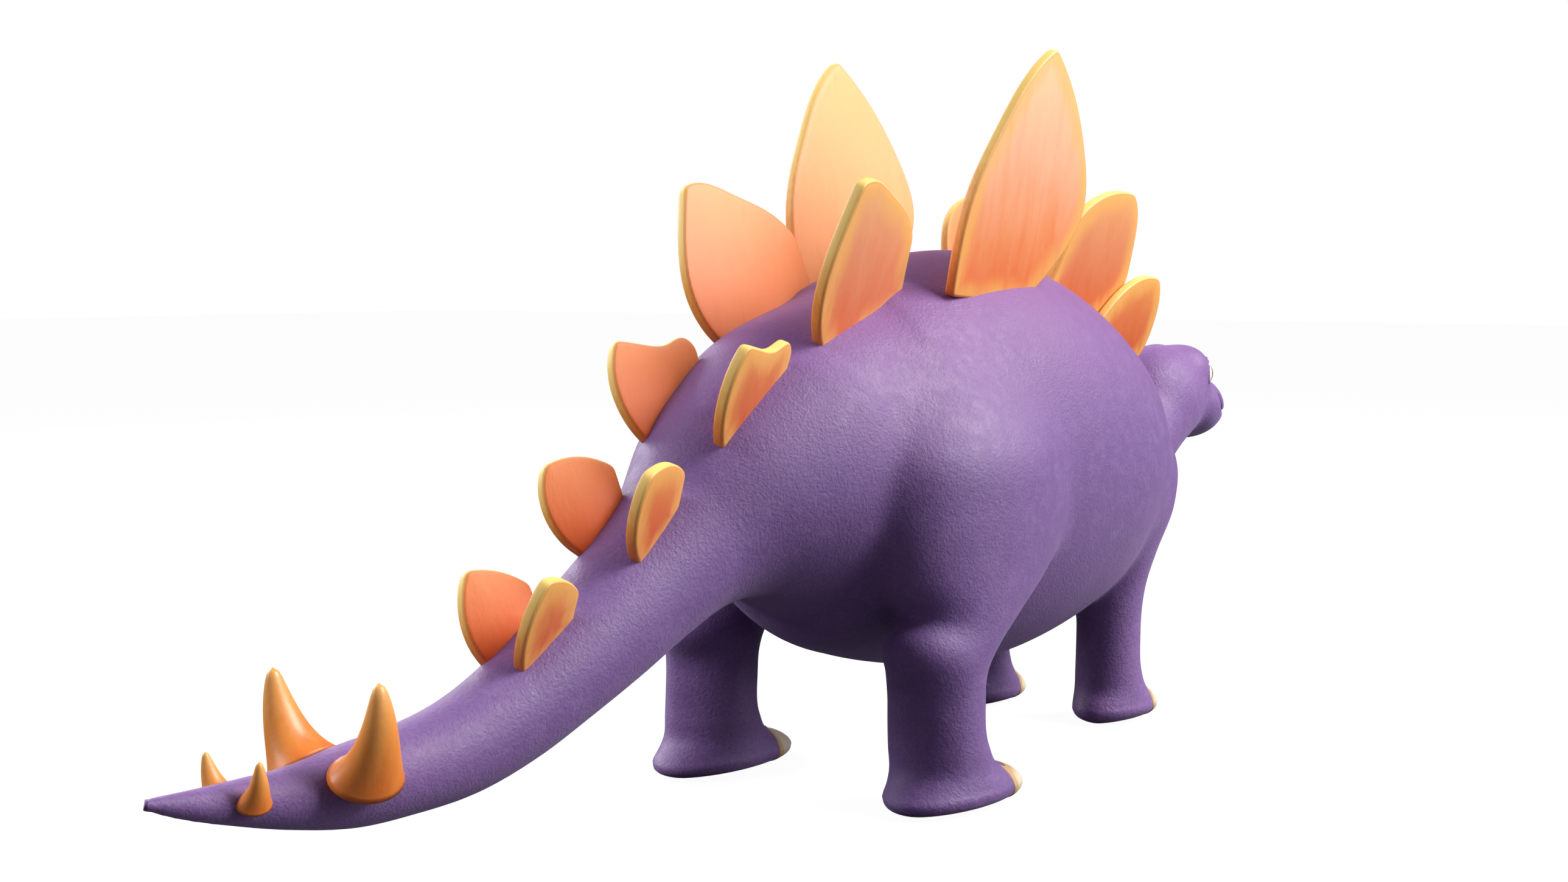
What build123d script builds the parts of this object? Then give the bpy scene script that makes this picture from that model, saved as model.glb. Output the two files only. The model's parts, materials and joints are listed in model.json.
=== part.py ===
"""Stuffed dinosaur: a standing plush stegosaurus with a poseable tail, neck and head.

Frame: millimetres, +X towards the snout, +Y to the animal's left, +Z up.
The origin is on the ground, in the mirror plane, halfway between the hind and the fore feet.
"""
from build123d import *
from math import cos, radians, sin, tan
import os

os.makedirs("parts", exist_ok=True)

# ---------------------------------------------------------------- driving dimensions
SKIN = 1.6  # suede cloth with its backing
SEAM_GAP = 0.5  # between skin and filling
CLEAR = 0.15  # all round anything that passes through a skin or a filling
PLATE = 3.2  # thickness of a back plate
PLATE_ROOT = 3.5  # how deep a plate's root sits below the skin's surface
HINGE_GAP = 0.6  # between two skins, on the hinge's own line
FAR_REACH = 60.0  # how far up, down and sideways a hinge keeps the soft parts apart
FAR_DEPTH = 25.0  # and how far past its line
LEG_TAIL_LOW = -38.0  # the hind legs keep clear of the tail down to here, from its first hinge

# The trunk from tail tip to neck: x, height of the centreline, half height, half width
TRUNK = [
    (-372.0, 46.5, 1.2, 1.2),
    (-362.0, 44.4, 3.0, 3.0),
    (-346.0, 41.8, 5.3, 5.3),
    (-331.0, 39.9, 7.3, 7.3),
    (-314.0, 39.2, 9.9, 9.8),
    (-296.0, 39.6, 11.0, 11.0),
    (-276.0, 41.9, 12.5, 12.0),
    (-257.0, 47.5, 13.9, 13.3),
    (-239.0, 55.5, 15.5, 14.9),
    (-220.0, 64.6, 17.2, 16.6),
    (-203.0, 73.7, 19.1, 18.0),
    (-186.0, 83.5, 23.0, 21.2),
    (-165.0, 94.0, 33.0, 30.0),
    (-140.0, 99.5, 44.5, 38.5),
    (-108.0, 98.0, 57.5, 46.0),
    (-64.0, 98.0, 67.0, 52.0),
    (-16.0, 95.8, 67.2, 54.0),
    (22.0, 91.0, 56.5, 50.5),
    (48.0, 86.0, 44.0, 40.0),
    (66.0, 86.5, 28.5, 28.5),
    (84.0, 90.3, 20.2, 20.6),
    (102.0, 98.0, 18.5, 18.5),
]
# The head, continuing from the neck: x, height of the centre, half height, half width
HEAD = [
    (100.0, 98.5, 19.5, 18.0),
    (112.0, 106.5, 19.5, 18.0),
    (125.0, 111.5, 18.0, 18.0),
    (137.0, 111.0, 17.0, 17.0),
    (148.0, 105.0, 14.5, 15.5),
    (159.0, 103.5, 12.0, 13.0),
    (166.0, 103.5, 7.5, 8.5),
    (168.5, 103.5, 2.0, 2.5),
]
# The legs, as ovals at a height z: z, centre x, centre y, half length, half width
HIND_LEG = [
    (0.0, -107.5, 43.2, 24.5, 9.0),
    (1.5, -107.8, 43.2, 28.6, 14.2),
    (4.0, -108.0, 43.0, 29.8, 16.8),
    (7.0, -108.6, 42.8, 26.5, 16.4),
    (11.0, -112.2, 42.4, 19.4, 15.4),
    (18.0, -115.0, 42.0, 15.4, 15.0),
    (31.0, -115.7, 41.6, 14.6, 14.6),
    (43.0, -115.2, 41.4, 15.0, 15.0),
    (57.0, -113.0, 40.8, 18.0, 16.5),
    (73.0, -108.0, 38.5, 27.5, 19.5),
    (89.0, -101.0, 35.5, 36.0, 22.5),
    (107.0, -95.0, 30.5, 38.0, 23.0),
    (125.0, -93.0, 23.0, 30.0, 20.0),
    (139.0, -92.0, 16.0, 17.0, 12.0),
]
FORE_LEG = [
    (0.0, 34.0, 26.8, 16.5, 6.5),
    (1.5, 34.0, 26.8, 20.0, 10.5),
    (4.0, 33.8, 26.8, 21.5, 12.8),
    (7.0, 32.8, 26.7, 19.5, 12.7),
    (11.0, 30.6, 26.6, 14.8, 12.2),
    (18.0, 28.8, 26.5, 11.9, 11.6),
    (31.0, 28.5, 26.5, 11.3, 11.3),
    (47.0, 29.0, 27.0, 12.0, 12.0),
    (57.0, 30.5, 27.8, 14.0, 13.2),
    (73.0, 34.0, 29.0, 19.0, 15.5),
    (89.0, 37.5, 28.0, 21.0, 15.5),
    (105.0, 38.0, 24.0, 12.0, 9.0),
]
# The cloth ends on a foot as a round tongue, and the toe cap lies round it: its middle and radius
HIND_TONGUE = (-92.9, 44.3, 10.6)
FORE_TONGUE = (44.0, 27.3, 8.0)
CAP_GAP = 0.1  # between a toe cap and the cloth
FOOT_ROWS = 6  # rows of a leg's table, from the ground up, that make its foot

# The hinges of the inner frame, from the tail's end to the head
TAIL_HINGE_X = [-142.0, -184.0, -228.0, -284.0]
TAIL_SWAY = 12.0  # degrees each way at each tail hinge
NECK_HINGE_X = 82.0
NECK_TURN = 18.0
HEAD_HINGE_X = 100.0
HEAD_NOD = 12.0

# Inner frame
PIN_R = 1.5
PIN_SEAT = 0.01  # radial gap of a pin in the fork that holds it
PIN_RUN = 0.05  # radial gap of a pin in the tongue that turns on it
EYE_R = 3.6  # outside radius of tongues and forks
TONGUE = 2.6
FORK_GAP = 3.0
FORK = 6.4
SLOT_DEPTH = 4.2  # of a fork's slot, behind its pin
HINGE_REACH = 5.5  # length of a tongue or fork along its link
BAR = 5.0
TAIL_BAR_END = 2.4  # the last tail link tapers to this
TAIL_BAR_X = -336.0
TAIL_BORE_END = 3.6  # size of its room there
BORE_GAP = 0.7  # between a link and the bore that it lies in
BORE_LEAD = 3.0  # how much longer than the link the bore is, at each end
POCKET_R = 7.8  # room round a hinge in the filling
SPINE_BAR = 10.0
SKULL_BALL_R = 6.0
SKULL_BALL = (126.0, 0.0, 110.0)
WIRE_R = 2.0
WIRE_GAP = 0.4  # round a leg wire in the filling
WIRE_SEAT = 0.03  # round a leg wire in the spine bar
HIND_WIRE = dict(x=-114.0, y=41.5, foot_z=6.0, bend_z=57.0, top_y=30.0)
FORE_WIRE = dict(x=29.0, y=26.8, foot_z=6.0, bend_z=53.0, top_y=22.0)
WIRE_BEND_R = 8.0

BALL_EYE_R = 5.4
BALL_EYE = (139.0, 10.6, 118.5)


# ---------------------------------------------------------------- shape helpers
def blend(rows, x):
    """Smooth values at x between the rows of a table whose first column rises."""
    last = len(rows) - 2
    i = max(j for j in range(last + 1) if rows[j][0] <= x or j == 0)

    def steepness(j, column):
        low, high = max(j - 1, 0), min(j + 1, last + 1)
        return (rows[high][column] - rows[low][column]) / (rows[high][0] - rows[low][0])

    width = rows[i + 1][0] - rows[i][0]
    u = (x - rows[i][0]) / width
    values = []
    for column in range(1, len(rows[0])):
        a, b = rows[i][column], rows[i + 1][column]
        da, db = steepness(i, column) * width, steepness(i + 1, column) * width
        values.append(
            (2 * u**3 - 3 * u**2 + 1) * a
            + (u**3 - 2 * u**2 + u) * da
            + (3 * u**2 - 2 * u**3) * b
            + (u**3 - u**2) * db
        )
    return values


def along(rows, x):
    """The centreline's point and its direction towards +X."""
    step = 0.5
    z = blend(rows, x)[0]
    before = blend(rows, max(x - step, rows[0][0]))[0]
    after = blend(rows, min(x + step, rows[-1][0]))[0]
    return Vector(x, 0, z), Vector(2 * step, 0, after - before).normalized()


def cross_plane(rows, x):
    """The plane square to the centreline at x: its x runs to the left side, its y runs up."""
    point, direction = along(rows, x)
    return Plane(origin=point, x_dir=(0, 1, 0), z_dir=direction)


def steps(start, end, count):
    return [start + (end - start) * i / (count - 1) for i in range(count)]


def trunk_loft(rows, start, end, count, inset=0.0, ruled=False):
    """A closed oval solid along a centreline, its surface `inset` inside the table's."""
    with BuildPart() as body:
        for x in steps(start, end, count):
            _, half_height, half_width = blend(rows, x)
            with BuildSketch(cross_plane(rows, x)):
                Ellipse(half_width - inset, half_height - inset)
        loft(ruled=ruled)
    return body.part


def leg_loft(rows, low, high, inset=0.0):
    """A closed oval solid standing up, through the rows of a leg's table between two heights."""
    heights = [low] + [row[0] for row in rows if low + 1 < row[0] < high - 1] + [high]
    with BuildPart() as limb:
        for z in heights:
            x, y, half_length, half_width = blend(rows, z)
            with BuildSketch(Plane(origin=(x, y, z))):
                Ellipse(half_length - inset, half_width - inset)
        loft()
    return limb.part


def slanted_bore(start, end, start_radius, end_radius):
    """A round or tapered bore between two points, to cut from a filling."""
    way = Vector(*end) - Vector(*start)
    with BuildPart() as bore:
        with BuildSketch(Plane(origin=start, z_dir=way)):
            Circle(start_radius)
        with BuildSketch(Plane(origin=end, z_dir=way)):
            Circle(end_radius)
        loft()
    return bore.part


def mirrored(solid):
    return solid.mirror(Plane.XZ)


def save(solid, name):
    """Write one piece, which may be a group of separate solids."""
    solid.label = name
    export_step(solid, f"parts/{name}.step")


def main_solid(shape):
    """The largest solid of a cut, without any crumbs."""
    return Part(shape.solids().sort_by(SortBy.VOLUME)[-1].wrapped)


# ---------------------------------------------------------------- hinges of the inner frame
class Hinge:
    """One hinge: its place on the centreline, its axis, and the way to its fixed side."""

    def __init__(self, x, parent_side, sideways, swing):
        self.point, forward = along(TRUNK, x)
        self.parent_way = forward * parent_side
        self.axis = Vector(0, 1, 0) if sideways else Vector(-forward.Z, 0, forward.X)
        self.swing = swing

    def plane(self, lift=0.0):
        """Square to the axis, with x towards the fixed side."""
        return Plane(origin=self.point + self.axis * lift, x_dir=self.parent_way, z_dir=self.axis)

    def fixed_end(self):
        return self.point + self.parent_way * HINGE_REACH

    def moving_end(self):
        return self.point - self.parent_way * HINGE_REACH

    def swept_room(self):
        """What the moving side's soft parts leave free, so that they can swing both ways."""
        reach = 60.0
        back = HINGE_GAP + reach * tan(radians(self.swing + 1.0))
        with BuildPart() as room:
            with BuildSketch(self.plane(-reach)):
                with BuildLine():
                    Polyline(
                        (-HINGE_GAP, 0),
                        (-back, reach),
                        (reach, reach),
                        (reach, -reach),
                        (-back, -reach),
                        close=True,
                    )
                make_face()
            extrude(amount=2 * reach)
        return room.part

    def far_room(self, low=-FAR_REACH):
        """Everything just past the hinge's line, which the soft parts of its fixed side leave free."""
        with BuildPart() as room:
            with BuildSketch(self.plane(low)):
                with Locations((-FAR_DEPTH / 2, 0)):
                    Rectangle(FAR_DEPTH, 2 * FAR_REACH)
            extrude(amount=FAR_REACH - low)
        return room.part

    def pocket(self):
        with BuildPart() as room:
            with Locations(self.point):
                Sphere(POCKET_R)
        return room.part

    def pin(self):
        with BuildPart() as pin:
            with BuildSketch(self.plane(-FORK / 2)):
                Circle(PIN_R)
            extrude(amount=FORK)
        return pin.part

    def tongue(self):
        with BuildPart() as tongue:
            with BuildSketch(self.plane(-TONGUE / 2)):
                Circle(EYE_R)
                with Locations((-HINGE_REACH / 2, 0)):
                    Rectangle(HINGE_REACH, 2 * EYE_R)
                Circle(PIN_R + PIN_RUN, mode=Mode.SUBTRACT)
            extrude(amount=TONGUE)
        return tongue.part

    def fork(self):
        with BuildPart() as fork:
            with BuildSketch(self.plane(-FORK / 2)):
                Circle(EYE_R)
                with Locations((HINGE_REACH / 2, 0)):
                    Rectangle(HINGE_REACH, 2 * EYE_R)
                Circle(PIN_R + PIN_SEAT, mode=Mode.SUBTRACT)
            extrude(amount=FORK)
            with BuildSketch(self.plane(-FORK_GAP / 2)):
                with Locations((SLOT_DEPTH - 2 * EYE_R, 0)):
                    Rectangle(4 * EYE_R, 4 * EYE_R)
            extrude(amount=FORK_GAP, mode=Mode.SUBTRACT)
        return fork.part


TAIL_HINGES = [Hinge(x, 1, False, TAIL_SWAY) for x in TAIL_HINGE_X]
NECK_HINGE = Hinge(NECK_HINGE_X, -1, False, NECK_TURN)
HEAD_HINGE = Hinge(HEAD_HINGE_X, -1, True, HEAD_NOD)


def bar(start, start_way, start_size, end, end_way, end_size, side):
    """A square bar between two faces, each square to its own hinge."""
    with BuildPart() as bar_part:
        with BuildSketch(Plane(origin=start, x_dir=side, z_dir=start_way)):
            Rectangle(start_size, start_size)
        with BuildSketch(Plane(origin=end, x_dir=side, z_dir=end_way)):
            Rectangle(end_size, end_size)
        loft(ruled=True)
    return bar_part.part


ACROSS = Vector(0, 1, 0)


def link(hinge, next_hinge):
    """A link that turns on one hinge and carries the fork of the next."""
    back = hinge.parent_way * -1.0
    shank = bar(hinge.moving_end(), back, BAR, next_hinge.fixed_end(), next_hinge.parent_way * -1.0, BAR, ACROSS)
    return hinge.tongue() + shank + next_hinge.fork()


def spine_bar():
    """The straight bar inside the trunk, with a fork at each end and a cross hole for each leg wire."""
    rear, front = TAIL_HINGES[0], NECK_HINGE
    shank = bar(rear.fixed_end(), rear.parent_way, SPINE_BAR, front.fixed_end(), front.parent_way * -1.0, SPINE_BAR,
                ACROSS)
    holes = [wire_solid(wire, WIRE_R + WIRE_SEAT) for wire in (HIND_WIRE, FORE_WIRE)]
    return (rear.fork() + shank + front.fork()).cut(*holes)


def spine_height(x):
    """The spine bar's middle runs straight between the two hinges at its ends."""
    rear, front = TAIL_HINGES[0].fixed_end(), NECK_HINGE.fixed_end()
    return rear.Z + (front.Z - rear.Z) * (x - rear.X) / (front.X - rear.X)


def wire_solid(wire, radius):
    """A leg wire: up one leg, across through the spine bar and down the other leg."""
    top_z = spine_height(wire["x"])
    upright = Plane(origin=(wire["x"], 0, 0), x_dir=(0, 1, 0), z_dir=(1, 0, 0))
    with BuildPart() as rod:
        with BuildLine(upright):
            FilletPolyline(
                (-wire["y"], wire["foot_z"]),
                (-wire["y"], wire["bend_z"]),
                (-wire["top_y"], top_z),
                (wire["top_y"], top_z),
                (wire["y"], wire["bend_z"]),
                (wire["y"], wire["foot_z"]),
                radius=WIRE_BEND_R,
            )
        with BuildSketch(Plane(origin=(wire["x"], -wire["y"], wire["foot_z"]))):
            Circle(radius)
        sweep()
    return rod.part


def tail_end_bar():
    """The last tail link: it tapers off inside the tail's tip."""
    hinge = TAIL_HINGES[-1]
    end, forward = along(TRUNK, TAIL_BAR_X)
    back = hinge.parent_way * -1.0
    shank = bar(hinge.moving_end(), back, BAR, end, forward * -1.0, TAIL_BAR_END, ACROSS)
    return hinge.tongue() + shank


def skull_bar():
    """The head's link: it ends in a ball that holds the head's filling."""
    with BuildPart() as ball:
        with Locations(SKULL_BALL):
            Sphere(SKULL_BALL_R)
    start = HEAD_HINGE.moving_end()
    way = (Vector(*SKULL_BALL) - start).normalized()
    shank = bar(start, HEAD_HINGE.parent_way * -1.0, BAR, SKULL_BALL, way, BAR, ACROSS)
    return HEAD_HINGE.tongue() + shank + ball.part


def link_bore(start, end, start_size, end_size):
    """Room in a filling for a square bar and a little more at both its ends."""
    corner = 0.5 * 2**0.5
    lead = (Vector(*end) - Vector(*start)).normalized() * BORE_LEAD
    return slanted_bore(Vector(*start) - lead, Vector(*end) + lead,
                        start_size * corner + BORE_GAP, end_size * corner + BORE_GAP)


# ---------------------------------------------------------------- back plates
# Each plate stands in a plane of its own. root is the rear end of its foot on the body, rise the
# foot's slope in degrees, lean how much the plate tips outwards for each unit of height, and
# toe_in how much it turns towards the mirror plane for each unit forwards. An outline is drawn
# in the plate's plane from its root. With grow its ends and its foot move out, for a slot.
def close_foot(foot, grow):
    """The part of a plate's outline that is sewn into the body."""
    bottom = -PLATE_ROOT - grow
    Line((foot + grow, 0), (foot + grow, bottom))
    Line((foot + grow, bottom), (-grow, bottom))
    Line((-grow, bottom), (-grow, 0))


def broad_outline(grow, foot, rear_edge, corner, crown, front_corner):
    """A tail plate: a bowed rear edge, a crowned top edge and a short front edge."""
    back, ahead = Vector(-grow, 0), Vector(grow, 0)
    with BuildLine() as outline:
        Spline(back, *[back + point for point in rear_edge], back + corner)
        Spline(back + corner, *crown, ahead + front_corner)
        Line(ahead + front_corner, (foot + grow, 0))
        close_foot(foot, grow)
    return outline.line


def leaf_outline(grow, foot, rear_edge, tip, front_edge):
    """A back plate: two bowed edges that meet in a blunt tip."""
    back, ahead = Vector(-grow, 0), Vector(grow, 0)
    with BuildLine() as outline:
        Spline(back, *[back + point for point in rear_edge], tip)
        Spline(tip, *[ahead + point for point in front_edge], (foot + grow, 0))
        close_foot(foot, grow)
    return outline.line


PLATES = [
    dict(root=(-260.8, 5.9, 59.3), rise=30.0, lean=0.36, toe_in=-0.21,
         outline=(broad_outline, 23.0, [(0.6, 6.5), (3.4, 12.5)], (12.9, 20.6), [(20.5, 14.8)], (26.0, 6.0))),
    dict(root=(-218.2, 9.3, 82.3), rise=36.0, lean=0.31, toe_in=-0.25,
         outline=(broad_outline, 22.0, [(-1.3, 8.0), (0.6, 15.5)], (10.0, 24.2), [(21.0, 18.0)], (27.0, 8.9))),
    dict(root=(-182.0, 11.0, 107.7), rise=29.0, lean=0.36, toe_in=-0.18,
         outline=(broad_outline, 27.5, [(-2.4, 10.0), (-1.2, 18.5)], (10.8, 32.2),
                               [(18.6, 26.0), (27.0, 21.0), (32.0, 20.2)], (35.0, 14.5))),
    dict(root=(-139.6, 16.2, 134.6), rise=25.5, lean=0.31, toe_in=-0.14,
         outline=(broad_outline, 46.0, [(-4.4, 11.0), (-4.0, 19.5), (1.5, 31.0)], (18.0, 48.8),
                               [(25.0, 47.0), (36.0, 37.3), (47.0, 25.0)], (50.8, 15.5))),
    dict(root=(-87.6, 28.9, 154.9), rise=-4.0, lean=0.17, toe_in=0.0,
         outline=(leaf_outline, 49.7, [(-0.5, 14.0), (1.5, 28.0), (11.0, 48.0), (24.5, 68.0)], (37.0, 78.3),
                              [(50.0, 69.6), (68.5, 49.5), (76.0, 30.0), (66.0, 13.5)])),
    dict(root=(-11.0, 19.4, 151.9), rise=-20.0, lean=0.25, toe_in=0.0,
         outline=(leaf_outline, 37.0, [(1.8, 14.0), (3.2, 27.5), (11.5, 38.7), (26.5, 47.6)], (35.5, 50.4),
                              [(42.0, 48.0), (52.3, 32.0), (55.2, 22.0), (48.0, 10.5)])),
    dict(root=(24.0, 18.6, 135.0), rise=-33.0, lean=0.27, toe_in=0.0,
         outline=(leaf_outline, 28.0, [(3.0, 18.0), (12.0, 33.2)], (26.0, 42.6),
                              [(33.0, 39.5), (39.8, 29.5), (41.5, 19.0), (36.0, 8.5)])),
    dict(root=(52.0, 10.4, 120.4), rise=-38.0, lean=0.30, toe_in=0.0,
         outline=(leaf_outline, 17.0, [(2.0, 8.0), (6.0, 15.0)], (12.2, 19.4),
                              [(20.0, 15.5), (22.0, 9.0)])),
]
TAIL_PLATES = {0: PLATES[2:3], 1: PLATES[1:2], 2: PLATES[0:1], 3: []}  # by tail section, front to tip
TRUNK_PLATES = PLATES[3:]


def plate_solid(plate, grow=0.0):
    """The left plate of a pair or, with grow, the slot that it needs in a skin and a filling."""
    normal = Vector(-plate["toe_in"], 1.0, -plate["lean"]).normalized()
    rise = radians(plate["rise"])
    level = Vector(cos(rise), 0, sin(rise))
    foot_way = (level - normal * level.dot(normal)).normalized()
    middle = Plane(origin=plate["root"], x_dir=foot_way, z_dir=normal * -1.0)
    draw_outline, *shape = plate["outline"]
    with BuildPart() as board:
        with BuildSketch(middle.offset(-PLATE / 2 - grow)):
            with BuildLine():
                add(draw_outline(grow, *shape))
            make_face()
        extrude(amount=PLATE + 2 * grow)
    return board.part


def slots(plates):
    left = [plate_solid(plate, CLEAR) for plate in plates]
    return left + [mirrored(slot) for slot in left]


# ---------------------------------------------------------------- tail spikes
# A spike's spine from inside the tail to its tip, with its half length and half width there
BIG_SPIKE = [
    ((-317.0, 5.5, 42.5), 10.6, 8.4),
    ((-317.4, 10.4, 47.2), 7.9, 6.3),
    ((-318.4, 14.3, 53.5), 5.4, 4.5),
    ((-320.0, 17.0, 60.5), 3.3, 3.0),
    ((-321.2, 18.1, 66.2), 1.1, 1.1),
]
SMALL_SPIKE = [
    ((-346.6, 2.6, 42.8), 5.2, 4.0),
    ((-346.9, 5.6, 45.8), 3.7, 3.1),
    ((-347.6, 7.8, 49.0), 2.3, 2.0),
    ((-348.4, 9.3, 52.2), 0.7, 0.7),
]


def spike_solid(stations):
    """A curved horn; each oval is square to the horn's own line."""
    points = [Vector(*point) for point, _, _ in stations]
    with BuildPart() as horn:
        for i, (_, half_length, half_width) in enumerate(stations):
            before, after = points[max(i - 1, 0)], points[min(i + 1, len(points) - 1)]
            with BuildSketch(Plane(origin=points[i], x_dir=(1, 0, 0), z_dir=after - before)):
                Ellipse(half_length, half_width)
        loft()
    return horn.part


# ---------------------------------------------------------------- skins and fillings
FILLING_INSET = SKIN + SEAM_GAP
TORSO_STATIONS = 26


def torso_loft(inset):
    """The barrel of the body, between the first tail hinge and the neck hinge."""
    rear, front = TAIL_HINGE_X[0] + HINGE_GAP, NECK_HINGE_X - HINGE_GAP
    return trunk_loft(TRUNK, rear, front, TORSO_STATIONS, inset, ruled=True)


def tail_loft(index, inset):
    """Tail section `index`, from its own hinge back to the next one or to the tip."""
    front = TAIL_HINGE_X[index]
    if index + 1 < len(TAIL_HINGE_X):
        return trunk_loft(TRUNK, TAIL_HINGE_X[index + 1] + HINGE_GAP, front, 7, inset)
    tip = TRUNK[1][0] if inset > 0 else TRUNK[0][0]
    return trunk_loft(TRUNK, tip, front, 11, inset)


def neck_loft(inset):
    return trunk_loft(TRUNK, NECK_HINGE_X, HEAD_HINGE_X - HINGE_GAP, 5, inset)


def head_loft(inset):
    end = HEAD[-2][0] if inset > 0 else HEAD[-1][0]
    return trunk_loft(HEAD, HEAD[0][0], end, 15, inset, ruled=True)


def cap_room(tongue, gap):
    """Everything in front of the round edge where a toe cap begins."""
    x, y, radius = tongue
    height = 40.0
    length = 60.0
    with BuildPart() as room:
        with Locations((x + gap + length / 2, y, 0)):
            Box(length, length, height)
        with Locations((x, y, 0)):
            Cylinder(radius + gap, height, mode=Mode.SUBTRACT)
    return room.part


def ground_room():
    """Everything below the level that the toy stands on."""
    with BuildPart() as room:
        with BuildSketch():
            Rectangle(600.0, 300.0)
        extrude(amount=-10.0)
    return room.part


def leg_pieces(rows, tongue, wire):
    """The left leg's skin with its haunch, its filling and its toe cap."""
    top = rows[-1][0]
    barrel = torso_loft(-CLEAR)
    tail_room = TAIL_HINGES[0].far_room(LEG_TAIL_LOW)
    outer = leg_loft(rows, 0.0, top) - ground_room()
    front = cap_room(tongue, 0.0)
    skin = outer.cut(leg_loft(rows, SKIN, top - SKIN, SKIN), barrel, front, tail_room)
    stuffing = leg_loft(rows, FILLING_INSET, top - FILLING_INSET, FILLING_INSET)
    filling = stuffing.cut(barrel, front, tail_room, wire_solid(wire, WIRE_R + WIRE_GAP))
    foot = leg_loft(rows[:FOOT_ROWS], 0.0, rows[FOOT_ROWS - 1][0])
    cap = foot.intersect(cap_room(tongue, CAP_GAP))
    return main_solid(skin), main_solid(filling), main_solid(cap)


# ---------------------------------------------------------------- trunk
plate_slots = slots(TRUNK_PLATES)
leg_bores = [wire_solid(wire, WIRE_R + WIRE_GAP) for wire in (HIND_WIRE, FORE_WIRE)]
torso_ends = [TAIL_HINGES[0].far_room(), NECK_HINGE.far_room()]
torso_skin = torso_loft(0.0).cut(torso_loft(SKIN), *plate_slots, *leg_bores, *torso_ends)
save(main_solid(torso_skin), "torso_skin")

spine_bore = link_bore(TAIL_HINGES[0].fixed_end(), NECK_HINGE.fixed_end(), SPINE_BAR, SPINE_BAR)
spine_pockets = [TAIL_HINGES[0].pocket(), NECK_HINGE.pocket()]
torso_filling = torso_loft(FILLING_INSET).cut(
    spine_bore, *spine_pockets, *plate_slots, *leg_bores, *torso_ends
)
save(main_solid(torso_filling), "torso_filling")
save(main_solid(spine_bar()), "spine_bar")
save(wire_solid(HIND_WIRE, WIRE_R), "hind_leg_wire")
save(wire_solid(FORE_WIRE, WIRE_R), "fore_leg_wire")

for leg_name, rows, tongue, wire in (
    ("hind_leg", HIND_LEG, HIND_TONGUE, HIND_WIRE),
    ("fore_leg", FORE_LEG, FORE_TONGUE, FORE_WIRE),
):
    leg_skin, leg_filling, toe_cap = leg_pieces(rows, tongue, wire)
    save(leg_skin, f"{leg_name}_skin_left")
    save(mirrored(leg_skin), f"{leg_name}_skin_right")
    save(Compound(children=[leg_filling, mirrored(leg_filling)]), f"{leg_name}_fillings")
    save(Compound(children=[toe_cap, mirrored(toe_cap)]), f"{leg_name}_toe_caps")

# ---------------------------------------------------------------- tail
TAIL_NAMES = ["tail_base", "tail_middle", "tail_rear", "tail_tip"]
for index, tail_name in enumerate(TAIL_NAMES):
    hinge = TAIL_HINGES[index]
    last = index == len(TAIL_NAMES) - 1
    openings = slots(TAIL_PLATES[index]) + [hinge.swept_room()]
    skin = tail_loft(index, 0.0).cut(tail_loft(index, SKIN), *openings)
    save(main_solid(skin), f"{tail_name}_skin")
    if last:
        bar_end = along(TRUNK, TAIL_BAR_X)[0]
        bores = [link_bore(hinge.moving_end(), bar_end, BAR, TAIL_BORE_END)]
        tail_link = tail_end_bar()
    else:
        next_hinge = TAIL_HINGES[index + 1]
        bores = [link_bore(hinge.moving_end(), next_hinge.fixed_end(), BAR, BAR), next_hinge.pocket()]
        openings.append(next_hinge.far_room())
        tail_link = link(hinge, next_hinge)
    filling = tail_loft(index, FILLING_INSET).cut(hinge.pocket(), *bores, *openings)
    save(main_solid(filling), f"{tail_name}_filling")
    save(main_solid(tail_link), f"{tail_name}_link")
    save(hinge.pin(), f"{tail_name}_pin")

tail_surface = tail_loft(3, -CLEAR / 2)
for spike_name, stations in (("big_spike", BIG_SPIKE), ("small_spike", SMALL_SPIKE)):
    spike = main_solid(spike_solid(stations) - tail_surface)
    save(spike, f"{spike_name}_left")
    save(mirrored(spike), f"{spike_name}_right")

# ---------------------------------------------------------------- neck and head
neck_openings = [NECK_HINGE.swept_room(), HEAD_HINGE.far_room()]
save(main_solid(neck_loft(0.0).cut(neck_loft(SKIN), *neck_openings)), "neck_skin")
neck_bore = link_bore(NECK_HINGE.moving_end(), HEAD_HINGE.fixed_end(), BAR, BAR)
neck_pockets = [NECK_HINGE.pocket(), HEAD_HINGE.pocket()]
save(main_solid(neck_loft(FILLING_INSET).cut(neck_bore, *neck_pockets, *neck_openings)), "neck_filling")
save(main_solid(link(NECK_HINGE, HEAD_HINGE)), "neck_link")
save(NECK_HINGE.pin(), "neck_pin")
save(HEAD_HINGE.pin(), "head_pin")

with BuildPart() as ball_eye:
    with Locations(BALL_EYE):
        Sphere(BALL_EYE_R)
with BuildPart() as eye_socket:
    with Locations(BALL_EYE):
        Sphere(BALL_EYE_R + CLEAR)
with BuildPart() as skull_pocket:
    with Locations(SKULL_BALL):
        Sphere(SKULL_BALL_R + BORE_GAP)
head_openings = [HEAD_HINGE.swept_room(), eye_socket.part, mirrored(eye_socket.part)]
save(main_solid(head_loft(0.0).cut(head_loft(SKIN), *head_openings)), "head_skin")
skull_bore = link_bore(HEAD_HINGE.moving_end(), SKULL_BALL, BAR, BAR)
head_filling = head_loft(FILLING_INSET).cut(skull_bore, skull_pocket.part, HEAD_HINGE.pocket(), *head_openings)
save(main_solid(head_filling), "head_filling")
save(main_solid(skull_bar()), "skull_bar")
save(ball_eye.part, "eye_left")
save(mirrored(ball_eye.part), "eye_right")

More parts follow.
